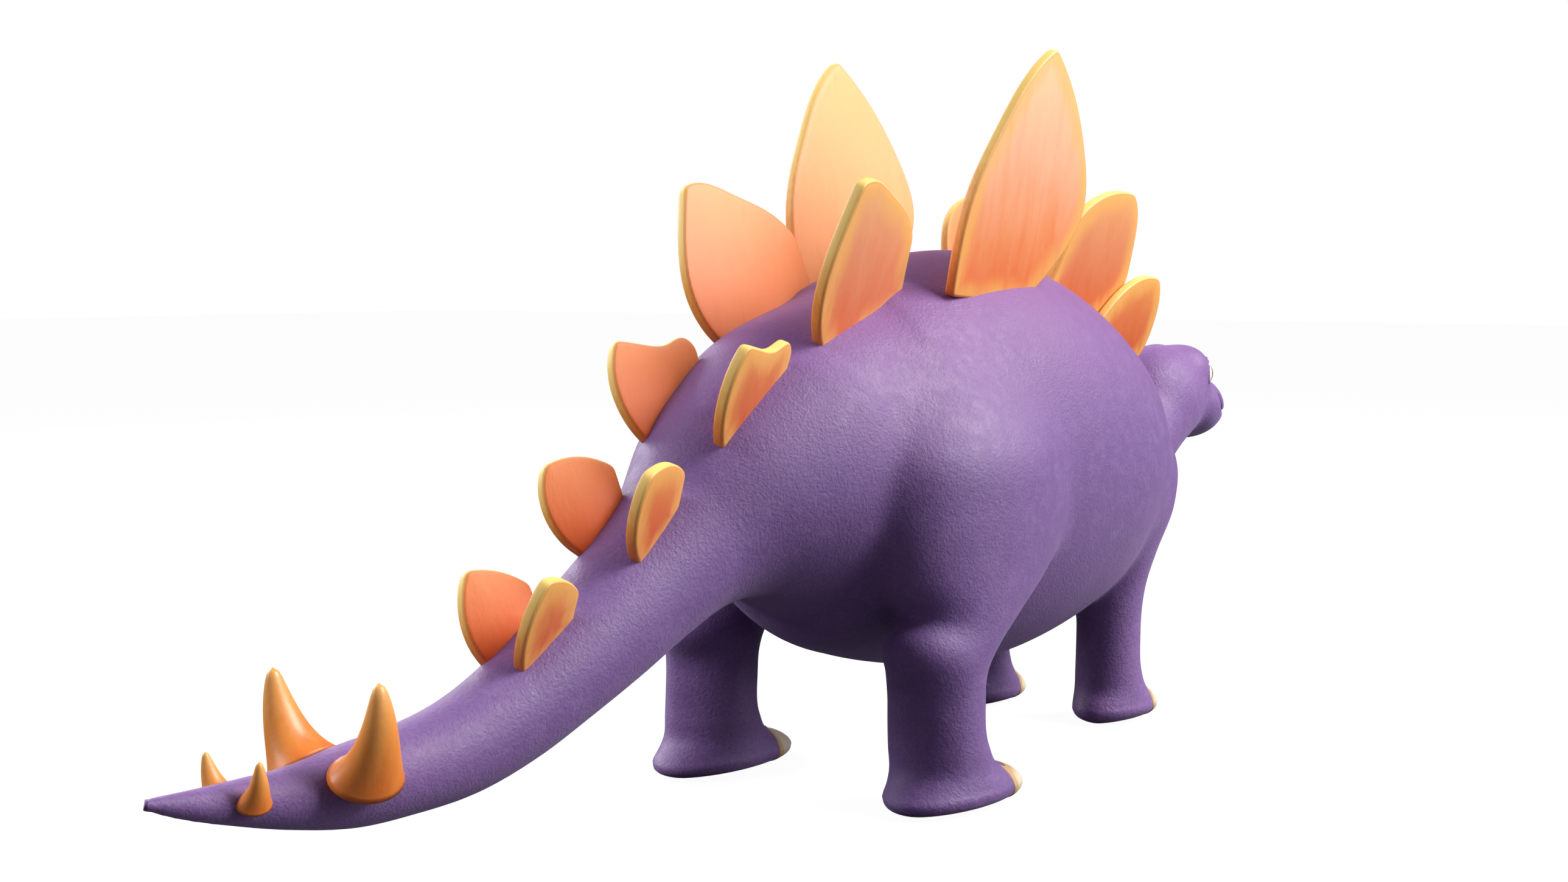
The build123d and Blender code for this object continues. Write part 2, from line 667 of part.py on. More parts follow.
# ---------------------------------------------------------------- back plates, tail to neck
for number, plate in enumerate(PLATES, start=1):
    board = plate_solid(plate)
    save(board, f"plate_{number}_left")
    save(mirrored(board), f"plate_{number}_right")
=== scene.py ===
"""Stuffed dinosaur: the finished looks of the stegosaurus over its CAD frame.

Lengths in the tables are millimetres in the row frame; meshes are written in metres.
"""
import json
from math import cos, pi, radians, sin, tan

import bmesh
import bpy
import numpy as np
from mathutils import Matrix, Vector


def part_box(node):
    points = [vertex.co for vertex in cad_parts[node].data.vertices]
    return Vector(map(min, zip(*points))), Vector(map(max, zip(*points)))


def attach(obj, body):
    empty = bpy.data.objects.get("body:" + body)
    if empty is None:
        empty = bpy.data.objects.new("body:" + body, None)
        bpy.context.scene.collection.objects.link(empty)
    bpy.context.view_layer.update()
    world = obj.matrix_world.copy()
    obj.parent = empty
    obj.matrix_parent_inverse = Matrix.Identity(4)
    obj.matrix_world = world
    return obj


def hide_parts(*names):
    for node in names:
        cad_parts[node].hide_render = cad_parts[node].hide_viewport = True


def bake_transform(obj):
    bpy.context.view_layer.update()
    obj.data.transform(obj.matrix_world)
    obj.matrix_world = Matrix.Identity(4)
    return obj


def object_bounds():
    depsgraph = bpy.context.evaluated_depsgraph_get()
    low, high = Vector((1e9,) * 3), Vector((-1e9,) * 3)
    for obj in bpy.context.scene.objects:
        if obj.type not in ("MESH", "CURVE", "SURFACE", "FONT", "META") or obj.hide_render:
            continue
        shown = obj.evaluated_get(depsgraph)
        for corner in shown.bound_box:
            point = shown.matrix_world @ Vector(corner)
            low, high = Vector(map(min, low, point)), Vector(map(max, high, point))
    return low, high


MM = 0.001
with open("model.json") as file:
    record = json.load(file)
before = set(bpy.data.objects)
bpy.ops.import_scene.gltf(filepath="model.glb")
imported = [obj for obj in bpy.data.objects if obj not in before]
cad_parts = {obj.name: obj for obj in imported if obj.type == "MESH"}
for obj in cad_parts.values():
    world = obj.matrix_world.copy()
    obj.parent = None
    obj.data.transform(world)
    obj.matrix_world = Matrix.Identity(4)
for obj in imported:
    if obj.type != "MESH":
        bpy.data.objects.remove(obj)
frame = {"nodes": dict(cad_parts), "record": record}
cad_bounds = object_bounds()
nodes = frame["nodes"]

# ------------------------------------------------------------------ driving dimensions
BODY_STEP = 1.6  # size of the cells that the body's surface is found with
HEAD_STEP = 0.8
COVER = 1.6  # thickness of the cloth
LEG_REACH = 9.0  # how far a haunch blends into the body
HEAD_REACH = 10.0
SOLE_ROUND = 3.0
TOP_ROUND = 10.0
CAP_SIDES = 14  # straight pieces of the half circle in which the cloth ends on a foot
CAP_PROUD = 0.25  # how far a toe cap stands out of the cloth
SECTION_ROUNDS = 6  # steps in which the section that a point lies in is found
SECTION_PULL = 0.6  # part of the remaining distance that each step covers

# Body from the tail's tip to the neck: x, height of the centreline, half height, half width
BODY = [
    (-372.0, 46.5, 1.2, 1.2),
    (-362.0, 44.4, 3.0, 3.0),
    (-346.0, 41.8, 5.3, 5.3),
    (-331.0, 39.9, 7.3, 7.3),
    (-314.0, 39.2, 9.9, 9.8),
    (-296.0, 39.6, 11.0, 11.0),
    (-276.0, 41.9, 12.5, 12.0),
    (-257.0, 47.5, 13.9, 13.3),
    (-239.0, 55.5, 15.5, 14.9),
    (-220.0, 64.6, 17.2, 16.6),
    (-203.0, 73.7, 19.1, 18.0),
    (-186.0, 83.5, 23.0, 21.2),
    (-165.0, 94.0, 33.0, 30.0),
    (-140.0, 99.5, 44.5, 38.5),
    (-108.0, 98.0, 57.5, 46.0),
    (-64.0, 98.0, 67.0, 52.0),
    (-16.0, 95.8, 67.2, 54.0),
    (22.0, 91.0, 56.5, 50.5),
    (48.0, 86.0, 44.0, 40.0),
    (66.0, 86.5, 28.5, 28.5),
    (84.0, 90.3, 20.2, 20.6),
    (102.0, 98.0, 18.5, 18.5),
    (117.0, 106.5, 18.5, 18.0),
]
# A leg as ovals: height, centre x, centre y, half length, half width
HIND_LEG = [
    (0.0, -107.5, 43.2, 24.5, 8.0),
    (1.5, -107.8, 43.2, 28.6, 14.0),
    (4.0, -108.0, 43.0, 29.8, 16.8),
    (7.0, -108.6, 42.8, 26.5, 16.4),
    (11.0, -112.2, 42.4, 19.4, 15.4),
    (18.0, -115.0, 42.0, 15.4, 15.0),
    (31.0, -115.7, 41.6, 14.6, 14.6),
    (42.0, -114.5, 41.6, 15.2, 15.0),
    (48.0, -110.5, 42.3, 17.5, 14.8),
    (55.0, -104.0, 43.0, 22.0, 14.8),
    (69.0, -94.0, 39.0, 39.5, 19.8),
    (87.0, -90.0, 37.0, 46.0, 22.5),
    (105.0, -88.0, 35.0, 46.0, 22.6),
    (122.0, -85.0, 28.0, 40.0, 19.5),
    (136.0, -86.0, 19.0, 31.0, 15.0),
    (148.0, -86.0, 13.0, 18.0, 9.0),
]
FORE_LEG = [
    (0.0, 34.0, 26.8, 16.5, 6.0),
    (1.5, 34.0, 26.8, 20.0, 10.3),
    (4.0, 33.8, 26.8, 21.5, 12.8),
    (7.0, 32.8, 26.7, 19.5, 12.7),
    (11.0, 30.6, 26.6, 14.8, 12.2),
    (18.0, 28.8, 26.5, 11.9, 11.6),
    (29.0, 28.5, 26.5, 11.3, 11.3),
    (47.0, 29.0, 27.0, 12.0, 12.0),
    (61.0, 31.0, 28.0, 15.0, 14.0),
    (77.0, 35.0, 29.0, 20.0, 16.5),
    (95.0, 38.0, 28.0, 20.0, 15.0),
    (109.0, 38.0, 24.0, 10.0, 8.0),
]
# Lumps of stuffing under the skin: centre, radii
HOCK = ((-120.5, 41.3, 47.0), (14.5, 12.8, 10.5))
SKULL = ((120.5, 0.0, 112.0), (25.5, 18.0, 18.0))
BROW = ((133.8, 6.0, 120.5), (10.0, 10.0, 9.0))
MUZZLE = ((143.8, 0.0, 105.6), (24.5, 16.0, 13.4))
MUZZLE_DIP = 0.1  # radians that the muzzle points down
CHEEK = ((142.5, 9.0, 105.5), (9.5, 7.5, 8.5))
NOSTRIL = ((162.3, 6.0, 109.5), 1.6)
MOUTH_DEEP = 1.3
MOUTH_WIDE = 0.9


# ------------------------------------------------------------------ fields
def smooth_rows(rows, at):
    """Values between the rows of a table, with a smooth slope; the first column is the place."""
    rows = np.asarray(rows, float)
    knots, values = rows[:, 0], rows[:, 1:]
    slope = np.zeros_like(values)
    gap = np.diff(knots)[:, None]
    rise = np.diff(values, axis=0) / gap
    slope[1:-1] = (rise[:-1] * gap[1:] + rise[1:] * gap[:-1]) / (gap[1:] + gap[:-1])
    slope[0], slope[-1] = rise[0], rise[-1]
    i = np.clip(np.searchsorted(knots, at, side="right") - 1, 0, len(knots) - 2)
    width = (knots[i + 1] - knots[i])[..., None]
    u = (at - knots[i])[..., None] / width
    return (
        (2 * u**3 - 3 * u**2 + 1) * values[i]
        + (u**3 - 2 * u**2 + u) * width * slope[i]
        + (3 * u**2 - 2 * u**3) * values[i + 1]
        + (u**3 - u**2) * width * slope[i + 1]
    )


def smooth_min(a, b, reach):
    h = np.maximum(reach - np.abs(a - b), 0) / reach
    return np.minimum(a, b) - h * h * h * reach / 6


def smooth_max(a, b, reach):
    return -smooth_min(-a, -b, reach)


def oval_distance(squares, fourths):
    """Near-distance to an oval from its two sums, which are 1 on the surface."""
    g = np.sqrt(squares) + 1e-9
    return (g - 1) / (np.sqrt(fourths) / g + 1e-9)


class Sweep:
    """An oval section carried along a centreline in the mirror plane."""

    def __init__(self, rows, count=220):
        rows = np.asarray(rows, float)
        length = np.concatenate([[0], np.cumsum(np.hypot(*np.diff(rows[:, :2], axis=0).T))])
        place = np.linspace(0, length[-1], count)
        line = smooth_rows(np.column_stack([length, rows]), place)
        self.x, self.z, self.high, self.wide = line.T
        tx, tz = np.gradient(self.x, place), np.gradient(self.z, place)
        norm = np.hypot(tx, tz)
        self.tx, self.tz = tx / norm, tz / norm
        self.step = place[1] - place[0]

    def at(self, place):
        """Centre, half sizes and direction of the sections at some places along the line."""
        i = place.astype(int)
        u = place - i
        return tuple(
            a[i] * (1 - u) + a[i + 1] * u for a in (self.x, self.z, self.high, self.wide, self.tx, self.tz)
        )

    def nearest(self, x, z):
        """The places along the line, in steps, of the sections that some points lie in."""
        index = np.empty(len(x), int)
        for start in range(0, len(x), 40000):
            part = slice(start, start + 40000)
            index[part] = np.argmin(np.hypot(x[part, None] - self.x, z[part, None] - self.z), 1)
        last = len(self.x) - 1.000001
        place = np.clip(index.astype(float), 0, last)
        for _ in range(SECTION_ROUNDS):
            cx, cz, _, _, tx, tz = self.at(place)
            ahead = (x - cx) * tx + (z - cz) * tz
            place = np.clip(place + SECTION_PULL * ahead / self.step, 0, last)
        return place

    def __call__(self, x, y, z):
        shape = np.broadcast(x, z).shape
        flat_x = np.broadcast_to(x, shape).ravel()
        flat_z = np.broadcast_to(z, shape).ravel()
        cx, cz, high, wide, tx, tz = self.at(self.nearest(flat_x, flat_z))
        dx, dz = flat_x - cx, flat_z - cz
        up, ahead = dz * tx - dx * tz, dx * tx + dz * tz
        up, ahead, high, wide = (a.reshape(shape) for a in (up, ahead, high, wide))
        end = np.minimum(high, wide)
        return oval_distance(
            (y / wide) ** 2 + (up / high) ** 2 + (ahead / end) ** 2,
            (y / wide**2) ** 2 + (up / high**2) ** 2 + (ahead / end**2) ** 2,
        )


def lump(x, y, z, centre, radii, dip=0.0):
    dx, dy, dz = x - centre[0], y - centre[1], z - centre[2]
    dx, dz = dx * cos(dip) - dz * sin(dip), dx * sin(dip) + dz * cos(dip)
    return oval_distance(
        (dx / radii[0]) ** 2 + (dy / radii[1]) ** 2 + (dz / radii[2]) ** 2,
        (dx / radii[0] ** 2) ** 2 + (dy / radii[1] ** 2) ** 2 + (dz / radii[2] ** 2) ** 2,
    )


def leg_field(rows, x, y, z):
    """A leg from its table; its sole and its top are rounded off."""
    low, high = rows[0][0], rows[-1][0]
    at = smooth_rows(rows, np.clip(z, low, high))
    cx, cy, half_length, half_width = (at[..., i] for i in range(4))
    dx, dy = x - cx, y - cy
    d = oval_distance(
        (dx / half_length) ** 2 + (dy / half_width) ** 2,
        (dx / half_length**2) ** 2 + (dy / half_width**2) ** 2,
    )
    d = smooth_max(d, low - z, SOLE_ROUND)
    return smooth_max(d, z - high, TOP_ROUND)


spine = Sweep(BODY)


def legs_field(x, side_y, z):
    hind = leg_field(HIND_LEG, x, side_y, z)
    hind = smooth_min(hind, lump(x, side_y, z, *HOCK), 7.0)
    return hind, leg_field(FORE_LEG, x, side_y, z)


eye_low, eye_high = (np.array(corner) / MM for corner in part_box("eye_left"))
EYE = (eye_low + eye_high) / 2
EYE_R = (eye_high[0] - eye_low[0]) / 2
EYE_GAP = 0.35


def mouth_height(x):
    """The line of the mouth seen from the side: it rises at the corner, as a smile."""
    corner = 145.0
    return 102.5 + 0.35 * np.maximum(x - 158.0, 0) + 9.0 * np.exp(-((x - corner) / 3.6) ** 2)


def mouth_groove(x, side_y, z):
    """How deep the mouth is pressed into the skin."""
    slope = 9.0 / 3.6
    near = (z - mouth_height(x)) / MOUTH_WIDE
    steep = np.clip(1 - np.abs(x - 147.5) / 3.5, 0, 1)
    near = near / (1 + slope * steep)
    begins = np.clip((x - 144.6) / 1.5, 0, 1)
    return MOUTH_DEEP * np.exp(-(near**2)) * begins


def body_field(x, y, z):
    """Distance to the whole skin, below zero inside."""
    side_y = np.abs(y)
    hind, fore = legs_field(x, side_y, z)
    d = smooth_min(spine(x, y, z), hind, LEG_REACH)
    d = smooth_min(d, fore, LEG_REACH)
    return smooth_min(d, head_lumps(x, y, z), HEAD_REACH)


def head_lumps(x, y, z):
    side_y = np.abs(y)
    d = lump(x, y, z, *SKULL)
    d = smooth_min(d, lump(x, side_y, z, *BROW), 9.0)
    d = smooth_min(d, lump(x, y, z, *MUZZLE, MUZZLE_DIP), 9.0)
    return smooth_min(d, lump(x, side_y, z, *CHEEK), 6.0)


def head_field(x, y, z):
    """The body's field with the mouth, the nostrils and the eye sockets pressed in."""
    side_y = np.abs(y)
    d = body_field(x, y, z) + mouth_groove(x, side_y, z)
    centre, radius = NOSTRIL
    hole = np.sqrt((x - centre[0]) ** 2 + (side_y - centre[1]) ** 2 + (z - centre[2]) ** 2) - radius
    d = smooth_max(d, -hole, 1.5)
    socket = np.sqrt((x - EYE[0]) ** 2 + (side_y - EYE[1]) ** 2 + (z - EYE[2]) ** 2) - (EYE_R + EYE_GAP)
    return smooth_max(d, -socket, 0.8)


# ------------------------------------------------------------------ meshing
def grid_faces(field, low, high, step):
    """The zero surface of a field inside a box, as points and four-sided faces."""
    axes = [np.arange(a, b + step, step) for a, b in zip(low, high)]
    x, y, z = axes[0][:, None, None], axes[1][None, :, None], axes[2][None, None, :]
    value = np.broadcast_to(field(x, y, z), [len(a) for a in axes]).copy()
    inside = value < 0
    counts = [n - 1 for n in value.shape]
    corners = [(i, j, k) for i in (0, 1) for j in (0, 1) for k in (0, 1)]

    def shifted(a, corner):
        return a[tuple(slice(c, c + n) for c, n in zip(corner, counts))]

    total = sum(shifted(inside, corner).astype(int) for corner in corners)
    active = (total > 0) & (total < 8)
    cells = np.argwhere(active)
    number = -np.ones(active.shape, int)
    number[active] = np.arange(len(cells))
    at = {corner: value[tuple((cells + corner).T)] for corner in corners}
    place, crossings = np.zeros((len(cells), 3)), np.zeros(len(cells))
    for corner in corners:
        for axis in range(3):
            if corner[axis]:
                continue
            other = tuple(1 if i == axis else c for i, c in enumerate(corner))
            a, b = at[corner], at[other]
            crosses = (a < 0) != (b < 0)
            point = np.tile(np.array(corner, float), (len(cells), 1))
            point[:, axis] += np.where(crosses, a / (a - b + 1e-30), 0)
            place[crosses] += point[crosses]
            crossings[crosses] += 1
    points = np.array([a[0] for a in axes]) + (cells + place / crossings[:, None]) * step
    faces = []
    for axis in range(3):
        first, second = (axis + 1) % 3, (axis + 2) % 3
        near, far = [slice(1, -1)] * 3, [slice(1, -1)] * 3
        near[axis], far[axis] = slice(0, -1), slice(1, None)
        a, b = inside[tuple(near)], inside[tuple(far)]
        for turned, edges in ((False, np.argwhere(a & ~b)), (True, np.argwhere(~a & b))):
            cell = edges + 1
            cell[:, axis] -= 1

            def neighbour(d1, d2):
                c = cell.copy()
                c[:, first] += d1
                c[:, second] += d2
                return number[tuple(c.T)]

            quad = np.stack([neighbour(-1, -1), neighbour(0, -1), neighbour(0, 0), neighbour(-1, 0)], 1)
            faces.append(quad[:, ::-1] if turned else quad)
    return points, np.concatenate(faces)


def slope_of(field, points, reach=0.4):
    """The field's outward direction at points."""
    x, y, z = points.T
    d = np.stack([
        field(x + reach, y, z) - field(x - reach, y, z),
        field(x, y + reach, z) - field(x, y - reach, z),
        field(x, y, z + reach) - field(x, y, z - reach),
    ], 1)
    return d / (2 * reach)


def unit(vectors):
    return vectors / (np.linalg.norm(vectors, axis=1, keepdims=True) + 1e-12)


def relaxed(field, points, faces, rounds=3):
    """Evens the points out along the surface and puts them back on it."""
    edges = np.concatenate([faces[:, [i, (i + 1) % 4]] for i in range(4)])
    for _ in range(rounds):
        total, count = np.zeros_like(points), np.zeros(len(points))
        np.add.at(total, edges[:, 0], points[edges[:, 1]])
        np.add.at(count, edges[:, 0], 1)
        points = points * 0.4 + total / count[:, None] * 0.6
        slope = slope_of(field, points)
        steep = (slope**2).sum(1, keepdims=True) + 1e-6
        move = field(*points.T)[:, None] * slope / steep
        points = points - np.clip(move, -1.0, 1.0)
    return points


def surface(field, low, high, step):
    points, faces = grid_faces(field, low, high, step)
    points = relaxed(field, points, faces)
    mesh = bmesh.new()
    made = [mesh.verts.new(p) for p in points]
    for face in faces:
        mesh.faces.new([made[i] for i in face])
    return mesh


def cut(mesh, point, normal, keep=None):
    """Splits faces along a plane; keep limits this to faces whose middle passes a test."""
    faces = [f for f in mesh.faces if keep is None or keep(f.calc_center_median())]
    geometry = set(faces)
    for face in faces:
        geometry.update(face.edges)
        geometry.update(face.verts)
    bmesh.ops.bisect_plane(mesh, geom=list(geometry), dist=0.02, plane_co=point, plane_no=normal)


def new_object(name, vertices, faces, material, smooth=True):
    """An object in metres from points in millimetres."""
    data = bpy.data.meshes.new(name)
    data.from_pydata([tuple(v) for v in np.asarray(vertices) * MM], [], [tuple(f) for f in faces])
    data.materials.append(material)
    data.polygons.foreach_set("use_smooth", [smooth] * len(data.polygons))
    data.update()
    made = bpy.data.objects.new(name, data)
    bpy.context.scene.collection.objects.link(made)
    return made


def cloth_shell(name, faces, points, normals, thickness, material, proud=0.0):
    """A closed sheet of cloth: the given faces, the same faces further in, and a rim between."""
    used = sorted({i for face in faces for i in face})
    place = {old: new for new, old in enumerate(used)}
    outer = [[place[i] for i in face] for face in faces]
    n = normals[used]
    top = points[used] + n * proud
    bottom = points[used] - n * thickness
    count = len(used)
    inner = [[i + count for i in reversed(face)] for face in outer]
    seen = set()
    for face in outer:
        seen.update((face[i], face[(i + 1) % len(face)]) for i in range(len(face)))
    rim = [(b, a, a + count, b + count) for a, b in seen if (b, a) not in seen]
    made = new_object(name, np.concatenate([top, bottom]), outer + inner + rim, material)
    data = made.data
    shades = np.zeros((len(data.loops), 3))
    loop = 0
    for kind, group in (("outer", outer), ("inner", inner), ("rim", rim)):
        for face in group:
            for i in face:
                if kind == "outer":
                    shades[loop] = n[i]
                elif kind == "inner":
                    shades[loop] = -n[i - count]
                loop += 1
    data.normals_split_custom_set([tuple(s) for s in shades])
    return made


def number_layer(made, name, values):
    """A value for each point of a mesh, for its material."""
    layer = made.data.attributes.new(name, "FLOAT", "POINT")
    layer.data.foreach_set("value", np.asarray(values, np.float32))


# ------------------------------------------------------------------ materials
def srgb(r, g, b):
    """A colour as Blender wants it, from 0-255 screen values."""
    return tuple((c / 255 / 12.92 if c <= 10 else ((c / 255 + 0.055) / 1.055) ** 2.4) for c in (r, g, b)) + (1.0,)


class Look:
    """A material with a few helpers for wiring its nodes."""

    def __init__(self, name):
        self.material = bpy.data.materials.new(name)
        self.material.use_nodes = True
        self.tree = self.material.node_tree
        self.base = self.tree.nodes["Principled BSDF"]
        self.place = self.add("ShaderNodeTexCoord").outputs["Object"]

    def add(self, kind, **settings):
        node = self.tree.nodes.new(kind)
        for key, value in settings.items():
            setattr(node, key, value)
        return node

    def wire(self, source, target):
        self.tree.links.new(source, target)

    def put(self, target, value):
        if isinstance(value, bpy.types.NodeSocket):
            self.wire(value, target)
        else:
            target.default_value = value

    def noise(self, scale, detail=4.0, rough=0.55, stretch=(1, 1, 1), twist=0.0):
        moved = self.add("ShaderNodeMapping")
        moved.inputs["Scale"].default_value = stretch
        self.wire(self.place, moved.inputs["Vector"])
        node = self.add("ShaderNodeTexNoise")
        node.inputs["Scale"].default_value = scale
        node.inputs["Detail"].default_value = detail
        node.inputs["Roughness"].default_value = rough
        node.inputs["Distortion"].default_value = twist
        self.wire(moved.outputs["Vector"], node.inputs["Vector"])
        return node.outputs["Fac"]

    def cells(self, scale, feature="F1"):
        node = self.add("ShaderNodeTexVoronoi", feature=feature)
        node.inputs["Scale"].default_value = scale
        self.wire(self.place, node.inputs["Vector"])
        return node.outputs["Distance"]

    def layer(self, name):
        return self.add("ShaderNodeAttribute", attribute_name=name).outputs["Fac"]

    def span(self, value, low, high, start=0.0, end=1.0):
        node = self.add("ShaderNodeMapRange", interpolation_type="SMOOTHSTEP")
        self.put(node.inputs["Value"], value)
        for socket, number in zip(("From Min", "From Max", "To Min", "To Max"), (low, high, start, end)):
            node.inputs[socket].default_value = number
        return node.outputs["Result"]

    def sum(self, a, b, operation="ADD"):
        node = self.add("ShaderNodeMath", operation=operation)
        self.put(node.inputs[0], a)
        self.put(node.inputs[1], b)
        return node.outputs[0]

    def mix(self, factor, a, b, blend="MIX"):
        node = self.add("ShaderNodeMix", data_type="RGBA", blend_type=blend)
        self.put(node.inputs["Factor"], factor)
        self.put(node.inputs["A"], a)
        self.put(node.inputs["B"], b)
        return node.outputs["Result"]

    def ramp(self, value, *stops):
        node = self.add("ShaderNodeValToRGB")
        band = node.color_ramp
        while len(band.elements) < len(stops):
            band.elements.new(0.5)
        for element, (position, colour) in zip(band.elements, stops):
            element.position = position
            element.color = colour
        self.put(node.inputs["Fac"], value)
        return node.outputs["Color"]

    def height(self):
        node = self.add("ShaderNodeSeparateXYZ")
        self.wire(self.place, node.inputs["Vector"])
        return node.outputs["Z"]

    def bump(self, value, depth, strength=1.0, after=None):
        node = self.add("ShaderNodeBump")
        node.inputs["Strength"].default_value = strength
        node.inputs["Distance"].default_value = depth
        self.wire(value, node.inputs["Height"])
        if after is not None:
            self.wire(after, node.inputs["Normal"])
        return node.outputs["Normal"]

    def finish(self, colour, rough, normal=None, **more):
        self.put(self.base.inputs["Base Color"], colour)
        self.put(self.base.inputs["Roughness"], rough)
        if normal is not None:
            self.wire(normal, self.base.inputs["Normal"])
        for key, value in more.items():
            self.put(self.base.inputs[key.replace("_", " ")], value)
        return self.material


def suede_look():
    """Purple short-napped cloth: a fine leathery grain, hair-thin wrinkles and a soft sheen."""
    look = Look("purple suede")
    patches = look.noise(8.0, 3.0)
    mottle = look.noise(170.0, 5.0, 0.65)
    grain = look.noise(900.0, 5.0, 0.6)
    pores = look.cells(1300.0)
    wrinkle = look.noise(420.0, 5.0, 0.65, twist=0.8)
    tone = look.mix(look.span(patches, 0.35, 0.7), srgb(112, 82, 140), srgb(128, 94, 152))
    worn = look.mix(look.span(mottle, 0.45, 0.75, 0.0, 0.22), tone, srgb(150, 124, 172))
    worn = look.mix(look.span(grain, 0.35, 0.6, 0.35, 0.0), worn, srgb(92, 62, 118))
    rosy = look.span(look.height(), 0.095, 0.165, 0.0, 0.5)
    colour = look.mix(rosy, worn, srgb(140, 82, 150))
    rough = look.span(mottle, 0.3, 0.7, 0.48, 0.62)
    normal = look.bump(wrinkle, 0.0004, 0.4)
    normal = look.bump(grain, 0.0003, 0.5, after=normal)
    normal = look.bump(pores, 0.0002, 0.35, after=normal)
    return look.finish(colour, rough, normal, Sheen_Weight=0.3, Sheen_Roughness=0.5,
                       Sheen_Tint=srgb(206, 186, 226), Specular_IOR_Level=0.42)


def board_look():
    """Cloth-covered board: yellow rim that grows lighter upwards, partly its own colour and partly painted rim light,
    orange faces that pale upwards, wood-like streaks.
    """
    look = Look("plate cloth")
    up, edge, pale = look.layer("up"), look.layer("edge"), look.layer("pale")
    rim, outward = look.layer("rim"), look.layer("outward")
    streak = look.noise(150.0, 5.0, 0.62, stretch=(1.0, 1.0, 0.1), twist=0.3)
    fleck = look.noise(700.0, 3.0, 0.6, stretch=(1.0, 1.0, 0.3))
    wavy = look.sum(up, look.span(streak, 0.25, 0.75, -0.08, 0.08))
    strong_in = look.ramp(wavy, (0.0, srgb(212, 84, 26)), (0.25, srgb(226, 104, 36)),
                          (0.6, srgb(230, 118, 44)), (1.0, srgb(232, 132, 54)))
    pale_in = look.ramp(wavy, (0.0, srgb(228, 130, 62)), (0.25, srgb(234, 160, 104)),
                        (0.6, srgb(236, 174, 118)), (1.0, srgb(238, 182, 118)))
    strong_out = look.ramp(wavy, (0.0, srgb(212, 82, 34)), (0.35, srgb(210, 96, 46)),
                           (0.65, srgb(218, 116, 62)), (1.0, srgb(232, 150, 78)))
    pale_out = look.ramp(wavy, (0.0, srgb(226, 100, 46)), (0.25, srgb(234, 138, 84)),
                         (0.6, srgb(243, 180, 142)), (1.0, srgb(247, 206, 160)))
    inner_face = look.mix(pale, strong_in, pale_in)
    outer_face = look.mix(pale, strong_out, pale_out)
    margin = look.sum(edge, look.span(streak, 0.3, 0.7, -2.0, 2.0))
    golden = look.span(margin, 0.5, 10.0, 0.7, 0.0)
    outer_face = look.mix(golden, outer_face, srgb(242, 184, 96))
    face = look.mix(outward, inner_face, outer_face)
    face = look.mix(look.span(streak, 0.55, 0.8, 0.0, 0.14), face, srgb(214, 92, 48))
    # The rim's colour: its own yellow, with painted rim light making the upper rim lighter.
    side = look.ramp(look.sum(up, look.span(fleck, 0.3, 0.7, -0.06, 0.06)), (0.0, srgb(230, 116, 46)),
                     (0.35, srgb(244, 164, 76)), (0.6, srgb(252, 206, 116)), (1.0, srgb(254, 216, 120)))
    colour = look.mix(rim, face, side)
    line = look.sum(look.span(edge, 0.25, 0.6), look.span(edge, 0.6, 1.1), "SUBTRACT")
    colour = look.mix(look.sum(line, 0.4, "MULTIPLY"), colour, srgb(190, 84, 34))
    normal = look.bump(streak, 0.0003, 0.3)
    normal = look.bump(fleck, 0.0002, 0.35, after=normal)
    return look.finish(colour, 0.5, normal, Specular_IOR_Level=0.42)


def spike_look():
    """Amber plastic, streaked along the spike and darker towards its foot."""
    look = Look("spike plastic")
    up = look.layer("up")
    streak = look.noise(160.0, 4.0, 0.6, stretch=(1.0, 1.0, 0.2), twist=0.3)
    fine = look.noise(600.0, 3.0)
    level = look.sum(up, look.span(streak, 0.3, 0.7, -0.14, 0.14))
    colour = look.ramp(level, (0.0, srgb(224, 118, 42)), (0.5, srgb(238, 150, 64)), (1.0, srgb(246, 178, 96)))
    normal = look.bump(fine, 0.0002, 0.3)
    return look.finish(colour, look.span(streak, 0.3, 0.7, 0.36, 0.48), normal, Coat_Weight=0.1,
                       Coat_Roughness=0.2)


def toe_look():
    """Cream moulded vinyl with tan shading near its rear edge and fine lengthwise ridges."""
    look = Look("toe cap vinyl")
    edge = look.layer("edge")
    ridges = look.noise(420.0, 4.0, 0.6, stretch=(0.25, 1.0, 1.0))
    cloudy = look.noise(70.0, 3.0)
    level = look.sum(look.span(edge, 0.0, 8.0), look.span(cloudy, 0.3, 0.7, -0.2, 0.2))
    colour = look.ramp(level, (0.0, srgb(198, 162, 116)), (0.35, srgb(222, 204, 172)), (1.0, srgb(234, 224, 206)))
    normal = look.bump(ridges, 0.00025, 0.4)
    return look.finish(colour, 0.38, normal)


def eye_look():
    """A painted safety eye: dark pupil, amber iris with rays, warm white, clear varnish."""
    look = Look("eye plastic")
    off = look.layer("off_axis")
    rays = look.noise(900.0, 2.0, 0.5)
    wavy = look.sum(off, look.span(rays, 0.3, 0.7, -0.012, 0.012))
    colour = look.ramp(wavy, (0.0, srgb(14, 10, 12)), (0.26, srgb(14, 10, 12)), (0.29, srgb(120, 66, 24)),
                       (0.42, srgb(176, 110, 40)), (0.47, srgb(60, 32, 18)), (0.5, srgb(240, 238, 232)),
                       (1.0, srgb(232, 226, 220)))
    normal = look.bump(rays, 0.00005, 0.2)
    return look.finish(colour, 0.12, normal, Coat_Weight=0.8, Coat_Roughness=0.03)


def nylon_look():
    look = Look("nylon")
    cloudy = look.noise(140.0, 4.0)
    colour = look.mix(look.span(cloudy, 0.3, 0.7), srgb(226, 222, 210), srgb(238, 236, 228))
    return look.finish(colour, look.span(cloudy, 0.3, 0.7, 0.4, 0.55), look.bump(cloudy, 0.0002, 0.3))


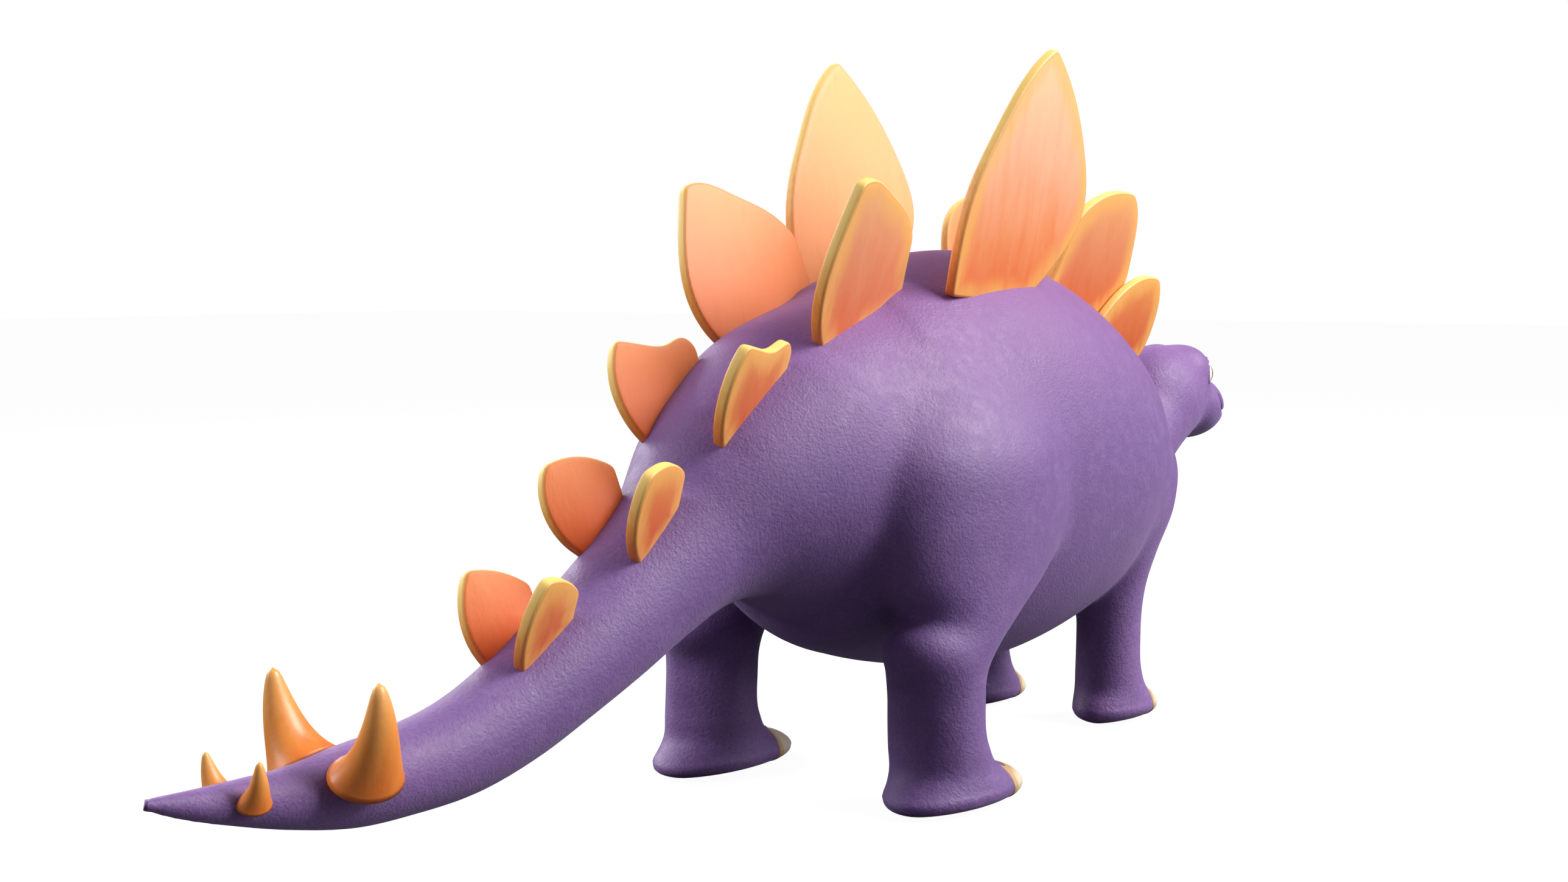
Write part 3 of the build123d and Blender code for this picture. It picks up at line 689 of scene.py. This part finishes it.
def steel_look():
    look = Look("steel")
    drawn = look.noise(900.0, 3.0, 0.6, stretch=(1.0, 1.0, 0.05))
    colour = look.mix(look.span(drawn, 0.3, 0.7), srgb(150, 151, 154), srgb(186, 187, 190))
    return look.finish(colour, look.span(drawn, 0.3, 0.7, 0.25, 0.4), look.bump(drawn, 0.0001, 0.3), Metallic=1.0)


SUEDE = suede_look()
BOARD = board_look()
SPIKE = spike_look()
TOE = toe_look()
EYE_PAINT = eye_look()
NYLON = nylon_look()
STEEL = steel_look()


# ------------------------------------------------------------------ the inner frame
def paint_inner_frame():
    """Links, bars, pins and wires are the CAD nodes themselves."""
    for name, node in nodes.items():
        if name.endswith(("_pin", "_wire")):
            material = STEEL
        elif name.endswith("_link") or name in ("spine_bar", "skull_bar"):
            material = NYLON
        else:
            continue
        node.data.materials.clear()
        node.data.materials.append(material)


# ------------------------------------------------------------------ skin
def bend(piece):
    """Bakes the piece's placement into its mesh."""
    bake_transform(piece)


def spine_point(x):
    """The point of the centreline at x and its direction."""
    i = int(np.argmin(np.abs(spine.x - x)))
    return Vector((spine.x[i], 0, spine.z[i])), Vector((spine.tx[i], 0, spine.tz[i]))


# Where one length of cover ends and the next begins, between the bending places
TAIL_SEAMS = [-130.0, -162.0, -205.0, -256.0]
NECK_SEAM = 70.0
HEAD_SEAM = 91.5
FOOT_HEIGHT = 19.0
FOOT_REACH = 24.0


# The cloth ends on a foot as a round tongue; its middle and radius
HIND_TONGUE = (-99.0, 43.5, 10.6)
FORE_TONGUE = (39.0, 27.0, 8.0)


def tongue_planes(tongue, side):
    """Upright planes round the front half of a tongue: a point and the normal of each."""
    x, y, radius = tongue
    planes = []
    for k in range(CAP_SIDES + 1):
        turn = radians(-90 + 180 * k / CAP_SIDES)
        normal = Vector((cos(turn), sin(turn), 0))
        planes.append((Vector((x, y * side, 0)) + normal * radius, normal))
    return planes


def past_tongue(points, tongue):
    """How far points are in front of the edge of the cloth on their foot."""
    x, y, _ = tongue
    side_points = points * np.array([1, 0, 1]) + np.abs(points) * np.array([0, 1, 0])
    out = [(side_points - np.array(p)) @ np.array(n) for p, n in tongue_planes(tongue, 1)]
    return np.minimum(np.max(out, axis=0), side_points[:, 0] - x)


def beyond(points, plane_point, normal):
    """Which points lie on the side of a plane that its normal points to."""
    return (points - np.array(plane_point)) @ np.array(normal) > 0


def body_names(centres):
    """The name of the cover that each face belongs to, from the middles of the faces."""
    x, y, z = centres.T
    names = np.full(len(centres), "torso_cover", dtype=object)
    point, forward = spine_point(NECK_SEAM)
    names[beyond(centres, point, forward)] = "neck_cover"
    point, forward = spine_point(HEAD_SEAM)
    names[beyond(centres, point, forward)] = ""
    for name, seam in zip(("tail_base", "tail_middle", "tail_rear", "tail_tip"), TAIL_SEAMS):
        point, forward = spine_point(seam)
        names[~beyond(centres, point, forward)] = name + "_cover"
    hind, fore = legs_field(x, np.abs(y), z)
    on_leg = np.minimum(hind, fore) < spine(x, y, z)
    for side, on_side in (("left", y > 0), ("right", y <= 0)):
        for leg, nearer, tongue in (("hind", hind < fore, HIND_TONGUE), ("fore", hind >= fore, FORE_TONGUE)):
            here = on_leg & on_side & nearer
            names[here] = f"{leg}_leg_cover_{side}"
            names[here & (z < FOOT_HEIGHT) & (past_tongue(centres, tongue) > 0)] = f"{leg}_toe_cap_{side}"
    return names


def sorted_faces(mesh, namer):
    """Faces grouped by the piece that they belong to."""
    mesh.verts.index_update()
    centres = np.array([face.calc_center_median() for face in mesh.faces])
    groups = {}
    for face, name in zip(mesh.faces, namer(centres)):
        if name:
            groups.setdefault(name, []).append([v.index for v in face.verts])
    return groups


def skin_pieces(mesh, field, namer):
    groups = sorted_faces(mesh, namer)
    points = np.array([v.co for v in mesh.verts])
    normals = unit(slope_of(field, points))
    mesh.free()
    pieces = {}
    for name, faces in sorted(groups.items()):
        if "toe_cap" in name:
            piece = cloth_shell(name, faces, points, normals, COVER, TOE, CAP_PROUD)
            tongue = HIND_TONGUE if name.startswith("hind") else FORE_TONGUE
            places = np.array([v.co for v in piece.data.vertices]) / MM
            number_layer(piece, "edge", past_tongue(places, tongue))
        else:
            piece = cloth_shell(name, faces, points, normals, COVER, SUEDE)
        pieces[name] = piece
    return pieces


def build_body():
    low, high = (np.array(corner) / MM for corner in cad_bounds)
    head_x = spine_point(HEAD_SEAM)[0].x
    margin = 6.0
    mesh = surface(body_field, (low[0] - margin, low[1] - margin, -margin),
                   (head_x + 40.0, high[1] + margin, 176.0), BODY_STEP)
    for seam in TAIL_SEAMS + [NECK_SEAM, HEAD_SEAM]:
        cut(mesh, *spine_point(seam))
    for tongue in (HIND_TONGUE, FORE_TONGUE):
        for side in (1, -1):
            middle = Vector((tongue[0], tongue[1] * side))

            def on_foot(c):
                return c.z < FOOT_HEIGHT and (c.xy - middle).length < FOOT_REACH and c.x > middle.x - 3.0

            cut(mesh, Vector((tongue[0], 0, 0)), Vector((1, 0, 0)), on_foot)
            for point, normal in tongue_planes(tongue, side):
                cut(mesh, point, normal, on_foot)
    pieces = skin_pieces(mesh, body_field, body_names)
    tail_names = ["tail_base", "tail_middle", "tail_rear", "tail_tip"]
    for name in tail_names:
        piece = pieces[name + "_cover"]
        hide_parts(name + "_skin", name + "_filling")
        bend(piece)
    for name, piece in pieces.items():
        if name == "torso_cover":
            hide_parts("torso_skin", "torso_filling")
            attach(piece, "torso")
        elif "leg_cover" in name:
            leg, side = name.split("_")[0], name.split("_")[-1]
            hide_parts(f"{leg}_leg_skin_{side}", f"{leg}_leg_fillings")
            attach(piece, "torso")
        elif "toe_cap" in name:
            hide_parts(name.split("_")[0] + "_leg_toe_caps")
            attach(piece, "torso")
    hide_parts("neck_skin", "neck_filling")
    bend(pieces["neck_cover"])


def build_head():
    low, high = (np.array(corner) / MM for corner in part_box("head_skin"))
    seam_point, forward = spine_point(HEAD_SEAM)
    margin = 8.0
    mesh = surface(head_field, (seam_point.x - 14.0, low[1] - margin, 67.0),
                   (high[0] + margin + 4.0, high[1] + margin, high[2] + margin), HEAD_STEP)
    cut(mesh, seam_point, forward)
    pieces = skin_pieces(mesh, head_field, lambda c: np.where(beyond(c, seam_point, forward), "head_cover", ""))
    cover = pieces["head_cover"]
    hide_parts("head_skin", "head_filling")
    bend(cover)


# ------------------------------------------------------------------ plates
PLATE_ROUND = 0.9  # radius of a plate's edges
PLATE_DOME = 0.35  # how much a face swells in its middle
OUTLINE_POINTS = 150
PALE_FROM = 40.0  # plates taller than this are paler
PALE_SPAN = 42.0  # and palest when they are this much taller
FACE_RINGS = 14
ROUND_STEPS = 4


def plate_frame(node):
    """A plate's middle, its along, up and outward directions and its thickness, from its CAD node."""
    data = node.data
    areas = {}
    for polygon in data.polygons:
        key = tuple(np.round(np.array(polygon.normal), 2))
        areas[key] = areas.get(key, 0) + polygon.area
    normal = np.array(max(areas, key=areas.get))
    side = 1 if "left" in node.name else -1
    normal *= 1 if normal[1] * side > 0 else -1
    normal /= np.linalg.norm(normal)
    up = np.array([0, 0, 1.0]) - normal * normal[2]
    up /= np.linalg.norm(up)
    along = np.cross(up, normal)
    places = np.array([v.co for v in data.vertices]) / MM
    depth = places @ normal
    return places, normal, up, along, (depth.min() + depth.max()) / 2, depth.max() - depth.min()


def face_outline(node, normal):
    """The points round the plate's large face, in order, from the CAD mesh."""
    data = node.data
    borders = {}
    for polygon in data.polygons:
        if Vector(polygon.normal).dot(Vector(normal)) < 0.98:
            continue
        corners = [tuple(np.round(np.array(data.vertices[i].co) / MM, 3)) for i in polygon.vertices]
        for a, b in zip(corners, corners[1:] + corners[:1]):
            if borders.get((b, a)):
                del borders[(b, a)]
            else:
                borders[(a, b)] = True
    after = dict(borders.keys())
    start = min(after)
    loop, here = [start], after[start]
    while here != start:
        loop.append(here)
        here = after[here]
    return np.array(loop)


def even_loop(points, count):
    """A closed line's points, evenly spaced."""
    closed = np.vstack([points, points[:1]])
    length = np.concatenate([[0], np.cumsum(np.linalg.norm(np.diff(closed, axis=0), axis=1))])
    place = np.linspace(0, length[-1], count, endpoint=False)
    return np.column_stack([np.interp(place, length, closed[:, i]) for i in range(2)])


def softened(points, width):
    """A closed line with its corners rounded."""
    spacing = np.linalg.norm(points[1] - points[0])
    reach = int(3 * width / spacing) + 1
    weights = np.exp(-0.5 * (np.arange(-reach, reach + 1) * spacing / width) ** 2)
    weights /= weights.sum()
    return sum(w * np.roll(points, k, axis=0) for w, k in zip(weights, range(-reach, reach + 1)))


def inward(points):
    """Unit directions square to a closed line, towards its inside, for a line that runs anticlockwise."""
    tangent = np.roll(points, -1, axis=0) - np.roll(points, 1, axis=0)
    tangent /= np.linalg.norm(tangent, axis=1, keepdims=True)
    return np.column_stack([-tangent[:, 1], tangent[:, 0]])


def ring_faces(first, second, count):
    """Four-sided faces between two rings of the same length."""
    return [(first + i, first + (i + 1) % count, second + (i + 1) % count, second + i) for i in range(count)]


def build_plate(node_name, body):
    node = nodes[node_name]
    places, normal, up, along, depth, thick = plate_frame(node)
    loop = face_outline(node, normal)
    flat = np.column_stack([loop @ along, loop @ up])
    area = np.sum(flat[:, 0] * np.roll(flat[:, 1], -1) - np.roll(flat[:, 0], -1) * flat[:, 1])
    flat = flat if area > 0 else flat[::-1]
    line = softened(even_loop(flat, 600), 1.1)
    line = even_loop(line, OUTLINE_POINTS)
    to_inside = inward(line)
    middle = line.mean(0)
    low, high = line[:, 1].min(), line[:, 1].max()
    rings = []
    half = thick / 2
    for k in range(ROUND_STEPS + 1):
        turn = k / ROUND_STEPS * pi / 2
        rings.append((line + to_inside * PLATE_ROUND * (1 - sin(turn)),
                      half - PLATE_ROUND * (1 - cos(turn)), PLATE_ROUND * (1 - sin(turn)), k / ROUND_STEPS))
    rings.reverse()
    side_rings = rings
    face_rings = []
    top_line = line + to_inside * PLATE_ROUND
    for k in range(1, FACE_RINGS):
        share = 1 - (k / FACE_RINGS)
        ring = middle + (top_line - middle) * share
        reach = np.linalg.norm(top_line - middle, axis=1) * (1 - share)
        face_rings.append((ring, half + PLATE_DOME * (1 - share**2), PLATE_ROUND + reach, 0.0))
    vertices, rises, edges, rims, outs = [], [], [], [], []

    def add_ring(ring, offset, edge, rim, out):
        for i, p in enumerate(ring):
            vertices.append(along * p[0] + up * p[1] + normal * (depth + offset))
            rises.append((p[1] - low) / (high - low))
            edges.append(edge[i] if isinstance(edge, np.ndarray) else edge)
            rims.append(rim)
            outs.append(out)

    stack = [(r, o, e, m, 1.0) for r, o, e, m in reversed(face_rings)]
    stack += [(r, o, e, m, 1.0) for r, o, e, m in reversed(side_rings)]
    stack += [(r, -o, e, m, 0.0) for r, o, e, m in side_rings]
    stack += [(r, -o, e, m, 0.0) for r, o, e, m in face_rings]
    for ring in stack:
        add_ring(*ring)
    count = OUTLINE_POINTS
    faces = []
    for k in range(len(stack) - 1):
        faces += [tuple(reversed(f)) for f in ring_faces(k * count, (k + 1) * count, count)]
    first_middle = len(vertices)
    for out in (1.0, 0.0):
        vertices.append(along * middle[0] + up * middle[1] + normal * (depth + (2 * out - 1) * (half + PLATE_DOME)))
        rises.append((middle[1] - low) / (high - low))
        edges.append(float(np.linalg.norm(top_line - middle, axis=1).mean()))
        rims.append(0.0)
        outs.append(out)
    last = (len(stack) - 1) * count
    for i in range(count):
        faces.append((first_middle, i, (i + 1) % count))
        faces.append((first_middle + 1, last + (i + 1) % count, last + i))
    piece = new_object(node_name + "_board", vertices, faces, BOARD)
    pale = min(max((high - low - PALE_FROM) / PALE_SPAN, 0.0), 1.0)
    layers = (("up", rises), ("edge", edges), ("rim", rims), ("outward", outs), ("pale", [pale] * len(rises)))
    for name, values in layers:
        number_layer(piece, name, values)
    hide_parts(node_name)
    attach(piece, body)


# ------------------------------------------------------------------ spikes
HORN_SIDES = 28
HORN_STEPS = 22
FOOT_LIFT = 0.13  # how far up its CAD node a horn's foot lies, since the rest is in the tail


def build_spike(node_name, body):
    """A curved horn with a wide foot, between the foot and the tip of its CAD node."""
    places = np.array([v.co for v in nodes[node_name].data.vertices]) / MM
    tip = places[np.argmax(places[:, 2])]
    low = places[:, 2].min()
    foot_points = places[places[:, 2] < low + 0.25 * (tip[2] - low)]
    foot = foot_points.mean(0)
    side = np.sign(tip[1])
    half_length = (places[:, 0].max() - places[:, 0].min()) / 2 * 1.1
    foot = np.array([(places[:, 0].max() + places[:, 0].min()) / 2, side * abs(foot[1]) * 0.85, foot[2] - 1.0])
    foot += (tip - foot) * FOOT_LIFT
    bow = foot + (tip - foot) * 0.45 + np.array([0, side * 0.16, -0.05]) * np.linalg.norm(tip - foot)
    vertices, faces, rises = [], [], []
    for k in range(HORN_STEPS + 1):
        t = k / HORN_STEPS
        centre = (1 - t) ** 2 * foot + 2 * t * (1 - t) * bow + t**2 * tip
        way = unit(((1 - t) * (bow - foot) + t * (tip - bow))[None])[0]
        across = unit(np.cross(way, [1.0, 0, 0])[None])[0]
        along = np.cross(across, way)
        flare = 0.74 * (1 - t) ** 0.7 + 0.26 * (1 - t) ** 5
        end = np.sqrt(max(1 - max(t - 0.93, 0) ** 2 / 0.07**2, 0))
        radius = half_length * (0.08 + 0.92 * flare) * end
        for i in range(HORN_SIDES):
            turn = 2 * pi * i / HORN_SIDES
            vertices.append(centre + along * radius * cos(turn) + across * radius * 0.74 * sin(turn))
            rises.append(t)
        if k:
            faces += ring_faces((k - 1) * HORN_SIDES, k * HORN_SIDES, HORN_SIDES)
    faces.append(tuple(reversed(range(HORN_SIDES))))
    data_points = np.array(vertices)
    piece = new_object(node_name + "_horn", data_points, faces, SPIKE)
    number_layer(piece, "up", rises)
    close_tip(piece)
    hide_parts(node_name)
    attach(piece, body)


def close_tip(piece):
    """Joins the points that fall together at a horn's tip and turns the faces outwards."""
    mesh = bmesh.new()
    mesh.from_mesh(piece.data)
    bmesh.ops.remove_doubles(mesh, verts=mesh.verts, dist=1e-6)
    bmesh.ops.recalc_face_normals(mesh, faces=mesh.faces)
    mesh.to_mesh(piece.data)
    mesh.free()


# ------------------------------------------------------------------ eyes
EYE_RINGS = 40
EYE_SIDES = 48


def build_eye(side, sign):
    """A round eye that looks forwards and outwards; off_axis is the angle from its own axis."""
    gaze = unit(np.array([[0.72, 0.69 * sign, 0.06]]))[0]
    across = unit(np.cross(gaze, [0, 0, 1.0])[None])[0]
    up = np.cross(across, gaze)
    centre = EYE * np.array([1, sign, 1])
    vertices, faces, off = [centre + gaze * EYE_R], [], [0.0]
    for k in range(1, EYE_RINGS):
        angle = pi * k / EYE_RINGS
        for i in range(EYE_SIDES):
            turn = 2 * pi * i / EYE_SIDES
            ring = across * cos(turn) + up * sin(turn)
            vertices.append(centre + EYE_R * (gaze * cos(angle) + ring * sin(angle)))
            off.append(angle / pi * 2)
        if k > 1:
            faces += ring_faces(1 + (k - 2) * EYE_SIDES, 1 + (k - 1) * EYE_SIDES, EYE_SIDES)
    vertices.append(centre - gaze * EYE_R)
    off.append(2.0)
    last = 1 + (EYE_RINGS - 2) * EYE_SIDES
    for i in range(EYE_SIDES):
        faces.append((0, 1 + (i + 1) % EYE_SIDES, 1 + i))
        faces.append((len(vertices) - 1, last + i, last + (i + 1) % EYE_SIDES))
    piece = new_object(f"eye_{side}_ball", vertices, faces, EYE_PAINT)
    number_layer(piece, "off_axis", off)
    close_tip(piece)
    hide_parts(f"eye_{side}")
    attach(piece, "head")


# ------------------------------------------------------------------ stage
CAMERA_PLACE = (-0.6665, -0.3692, 0.1588)
CAMERA_TURN = 34.80  # degrees of the view to the left of +X
CAMERA_DIP = 4.44


def build_stage():
    scene = bpy.context.scene
    floor = Look("floor")
    sees = floor.add("ShaderNodeLightPath").outputs["Is Camera Ray"]
    floor.finish(floor.mix(sees, srgb(70, 68, 74), srgb(60, 60, 60)), 0.9, Emission_Color=(1.0, 1.0, 1.0, 1.0),
                 Emission_Strength=floor.sum(sees, 0.955, "MULTIPLY"))
    size = 6.0
    plane = new_object("floor", np.array([(-size, -size, 0), (size, -size, 0), (size, size, 0), (-size, size, 0)]) / MM,
                       [(0, 1, 2, 3)], floor.material, smooth=False)
    world = bpy.data.worlds.new("studio")
    world.use_nodes = True
    scene.world = world
    tree = world.node_tree
    seen = tree.nodes.new("ShaderNodeLightPath")
    mix = tree.nodes.new("ShaderNodeMix")
    mix.data_type = "RGBA"
    mix.inputs["A"].default_value = (0.17, 0.17, 0.2, 1)
    mix.inputs["B"].default_value = (1, 1, 1, 1)
    tree.links.new(seen.outputs["Is Camera Ray"], mix.inputs["Factor"])
    tree.links.new(mix.outputs["Result"], tree.nodes["Background"].inputs["Color"])

    def lamp(name, place, aim, power, width, colour=(1, 1, 1)):
        light = bpy.data.lights.new(name, "AREA")
        light.energy, light.size, light.color = power, width, colour
        made = bpy.data.objects.new(name, light)
        made.location = place
        made.rotation_euler = (Vector(aim) - Vector(place)).to_track_quat("-Z", "Y").to_euler()
        scene.collection.objects.link(made)

    middle = (-0.10, 0.0, 0.09)
    lamp("key", (0.55, -0.82, 0.95), middle, 27.0, 0.7, (1.0, 0.98, 0.96))
    lamp("rear", (-1.0, 0.7, 0.9), middle, 11.0, 0.6)
    lamp("right", (0.45, -1.2, 0.45), middle, 5.0, 0.6)
    lamp("left", (0.1, 1.3, 0.7), middle, 16.0, 0.8)
    camera = bpy.data.cameras.new("camera")
    camera.lens, camera.sensor_width = 50.0, 36.0
    camera.clip_start = 0.01
    made = bpy.data.objects.new("camera", camera)
    turn, dip = radians(CAMERA_TURN), radians(CAMERA_DIP)
    forward = Vector((cos(dip) * cos(turn), cos(dip) * sin(turn), -sin(dip)))
    made.location = CAMERA_PLACE
    made.rotation_euler = forward.to_track_quat("-Z", "Y").to_euler()
    scene.collection.objects.link(made)
    scene.camera = made
    scene.view_settings.view_transform = "Standard"


# ------------------------------------------------------------------ assembly
paint_inner_frame()
build_body()
build_head()
for body, members in sorted(frame["record"]["behaviour"]["bodies"].items()):
    for member in members:
        if member.startswith("plate_"):
            build_plate(member, body)
        elif "spike" in member:
            build_spike(member, body)
build_eye("left", 1)
build_eye("right", -1)
build_stage()
